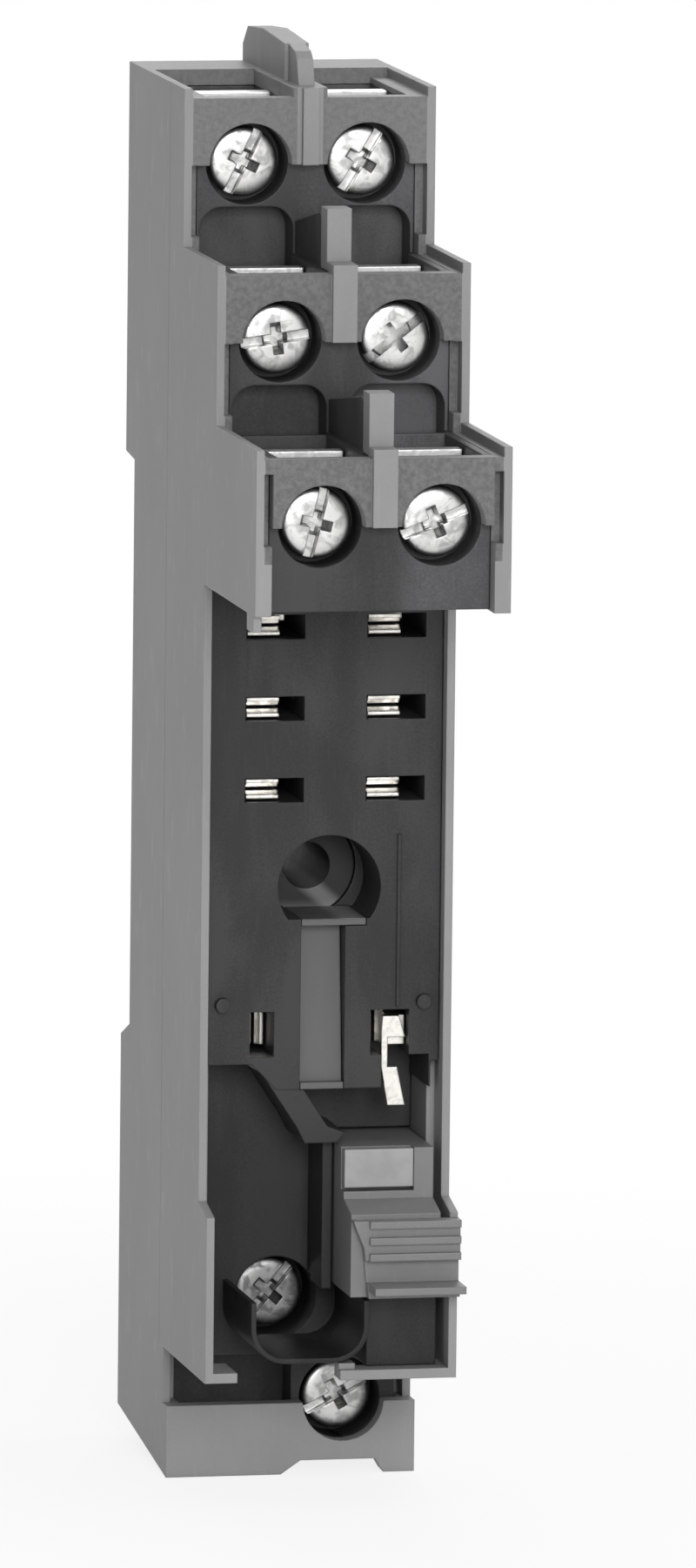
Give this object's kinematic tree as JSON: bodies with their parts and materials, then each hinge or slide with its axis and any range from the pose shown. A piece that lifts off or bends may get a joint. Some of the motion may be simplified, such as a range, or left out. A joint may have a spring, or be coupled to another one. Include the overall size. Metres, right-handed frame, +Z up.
{
  "type": "relay socket",
  "caption": "Narrow rail-mount relay socket with three stepped tiers of screw terminals, a slotted relay deck, coil terminals at the foot and a small plug-in module.",
  "frame": {"origin": "back plane at the rail's centre line, mid width", "axes": "+X across the body (right seen from the front), -Y out of the front, +Z up along the body"},
  "size_m": [0.0156, 0.0404, 0.0885],
  "materials": {
    "light_grey_shell": "fine matt moulding",
    "dark_grey_carrier": "fine matt moulding",
    "clip_plastic": "fine matt moulding",
    "spring_steel": "bright spring strip",
    "plated_screw": "zinc plated, slightly worn",
    "plated_clamp": "zinc plated",
    "plated_contact": "nickel plated copper alloy",
    "module_grey": "fine matt moulding",
    "module_window": "pale milky window",
    "board_green": "lacquered board",
    "lamp_amber": "tinted resin",
    "resistor_tan": "lacquer",
    "diode_black": "moulded body"
  },
  "bodies": {
    "socket": {"rear_base": "light_grey_shell", "front_housing": "light_grey_shell", "contact_carrier": "dark_grey_carrier", "rail_clip_spring": "spring_steel", "contact_strip_1_left": "plated_contact", "contact_strip_1_right": "plated_contact", "contact_strip_2_left": "plated_contact", "contact_strip_2_right": "plated_contact", "contact_strip_3_left": "plated_contact", "contact_strip_3_right": "plated_contact", "contact_strip_coil_deep": "plated_contact", "contact_strip_coil_low": "plated_contact"},
    "rail_clip": {"rail_clip": "clip_plastic"},
    "module": {"module_case": "module_grey", "module_window": "module_window", "module_base": "clip_plastic", "module_blades": "plated_contact", "module_board": "board_green", "module_lamp": "lamp_amber", "module_resistor": "resistor_tan", "module_diode": "diode_black"},
    "screw_1_left": {"terminal_screw_1_left": "plated_screw"},
    "clamp_1_left": {"box_clamp_1_left": "plated_clamp"},
    "screw_1_right": {"terminal_screw_1_right": "plated_screw"},
    "clamp_1_right": {"box_clamp_1_right": "plated_clamp"},
    "screw_2_left": {"terminal_screw_2_left": "plated_screw"},
    "clamp_2_left": {"box_clamp_2_left": "plated_clamp"},
    "screw_2_right": {"terminal_screw_2_right": "plated_screw"},
    "clamp_2_right": {"box_clamp_2_right": "plated_clamp"},
    "screw_3_left": {"terminal_screw_3_left": "plated_screw"},
    "clamp_3_left": {"box_clamp_3_left": "plated_clamp"},
    "screw_3_right": {"terminal_screw_3_right": "plated_screw"},
    "clamp_3_right": {"box_clamp_3_right": "plated_clamp"},
    "screw_coil_deep": {"terminal_screw_coil_deep": "plated_screw"},
    "clamp_coil_deep": {"box_clamp_coil_deep": "plated_clamp"},
    "screw_coil_low": {"terminal_screw_coil_low": "plated_screw"},
    "clamp_coil_low": {"box_clamp_coil_low": "plated_clamp"}
  },
  "joints": [
    {"name": "screw_turn_1_left", "type": "hinge", "parent": "socket", "child": "screw_1_left", "pos_m": [-0.00365, -0.0151, 0.03745], "axis": [0, 1, 0], "range_deg": [0, 1224]},
    {"name": "clamp_rise_1_left", "type": "slide", "parent": "socket", "child": "clamp_1_left", "axis": [0, -1, 0], "range_m": [0, 0.0017]},
    {"name": "screw_turn_1_right", "type": "hinge", "parent": "socket", "child": "screw_1_right", "pos_m": [0.00365, -0.0151, 0.03745], "axis": [0, 1, 0], "range_deg": [0, 1224]},
    {"name": "clamp_rise_1_right", "type": "slide", "parent": "socket", "child": "clamp_1_right", "axis": [0, -1, 0], "range_m": [0, 0.0017]},
    {"name": "screw_turn_2_left", "type": "hinge", "parent": "socket", "child": "screw_2_left", "pos_m": [-0.00365, -0.0256, 0.0278], "axis": [0, 1, 0], "range_deg": [0, 1224]},
    {"name": "clamp_rise_2_left", "type": "slide", "parent": "socket", "child": "clamp_2_left", "axis": [0, -1, 0], "range_m": [0, 0.0017]},
    {"name": "screw_turn_2_right", "type": "hinge", "parent": "socket", "child": "screw_2_right", "pos_m": [0.00365, -0.0256, 0.0278], "axis": [0, 1, 0], "range_deg": [0, 1224]},
    {"name": "clamp_rise_2_right", "type": "slide", "parent": "socket", "child": "clamp_2_right", "axis": [0, -1, 0], "range_m": [0, 0.0017]},
    {"name": "screw_turn_3_left", "type": "hinge", "parent": "socket", "child": "screw_3_left", "pos_m": [-0.00365, -0.0378, 0.0181], "axis": [0, 1, 0], "range_deg": [0, 1224]},
    {"name": "clamp_rise_3_left", "type": "slide", "parent": "socket", "child": "clamp_3_left", "axis": [0, -1, 0], "range_m": [0, 0.0017]},
    {"name": "screw_turn_3_right", "type": "hinge", "parent": "socket", "child": "screw_3_right", "pos_m": [0.00365, -0.0378, 0.0181], "axis": [0, 1, 0], "range_deg": [0, 1224]},
    {"name": "clamp_rise_3_right", "type": "slide", "parent": "socket", "child": "clamp_3_right", "axis": [0, -1, 0], "range_m": [0, 0.0017]},
    {"name": "screw_turn_coil_deep", "type": "hinge", "parent": "socket", "child": "screw_coil_deep", "pos_m": [-0.0016, -0.0159, -0.0322], "axis": [0, 1, 0], "range_deg": [0, 1224]},
    {"name": "clamp_rise_coil_deep", "type": "slide", "parent": "socket", "child": "clamp_coil_deep", "axis": [0, -1, 0], "range_m": [0, 0.0017]},
    {"name": "screw_turn_coil_low", "type": "hinge", "parent": "socket", "child": "screw_coil_low", "pos_m": [0.0033, -0.0133, -0.0392], "axis": [0, 1, 0], "range_deg": [0, 1224]},
    {"name": "clamp_rise_coil_low", "type": "slide", "parent": "socket", "child": "clamp_coil_low", "axis": [0, -1, 0], "range_m": [0, 0.0017]},
    {"name": "rail_clip_release", "type": "slide", "parent": "socket", "child": "rail_clip", "axis": [0, 0, -1], "range_m": [0, 0.0025], "stiffness_N_per_m": 800, "springref_m": -0.002, "deforming": ["rail_clip_spring"]},
    {"name": "module_pull", "type": "slide", "parent": "socket", "child": "module", "axis": [0, -1, 0], "range_m": [0, 0.012]}
  ],
  "couplings": [
    {"joint": "screw_turn_1_left", "follows": "clamp_rise_1_left", "rad_per_m": 12566},
    {"joint": "screw_turn_1_right", "follows": "clamp_rise_1_right", "rad_per_m": 12566},
    {"joint": "screw_turn_2_left", "follows": "clamp_rise_2_left", "rad_per_m": 12566},
    {"joint": "screw_turn_2_right", "follows": "clamp_rise_2_right", "rad_per_m": 12566},
    {"joint": "screw_turn_3_left", "follows": "clamp_rise_3_left", "rad_per_m": 12566},
    {"joint": "screw_turn_3_right", "follows": "clamp_rise_3_right", "rad_per_m": 12566},
    {"joint": "screw_turn_coil_deep", "follows": "clamp_rise_coil_deep", "rad_per_m": 12566},
    {"joint": "screw_turn_coil_low", "follows": "clamp_rise_coil_low", "rad_per_m": 12566}
  ]
}
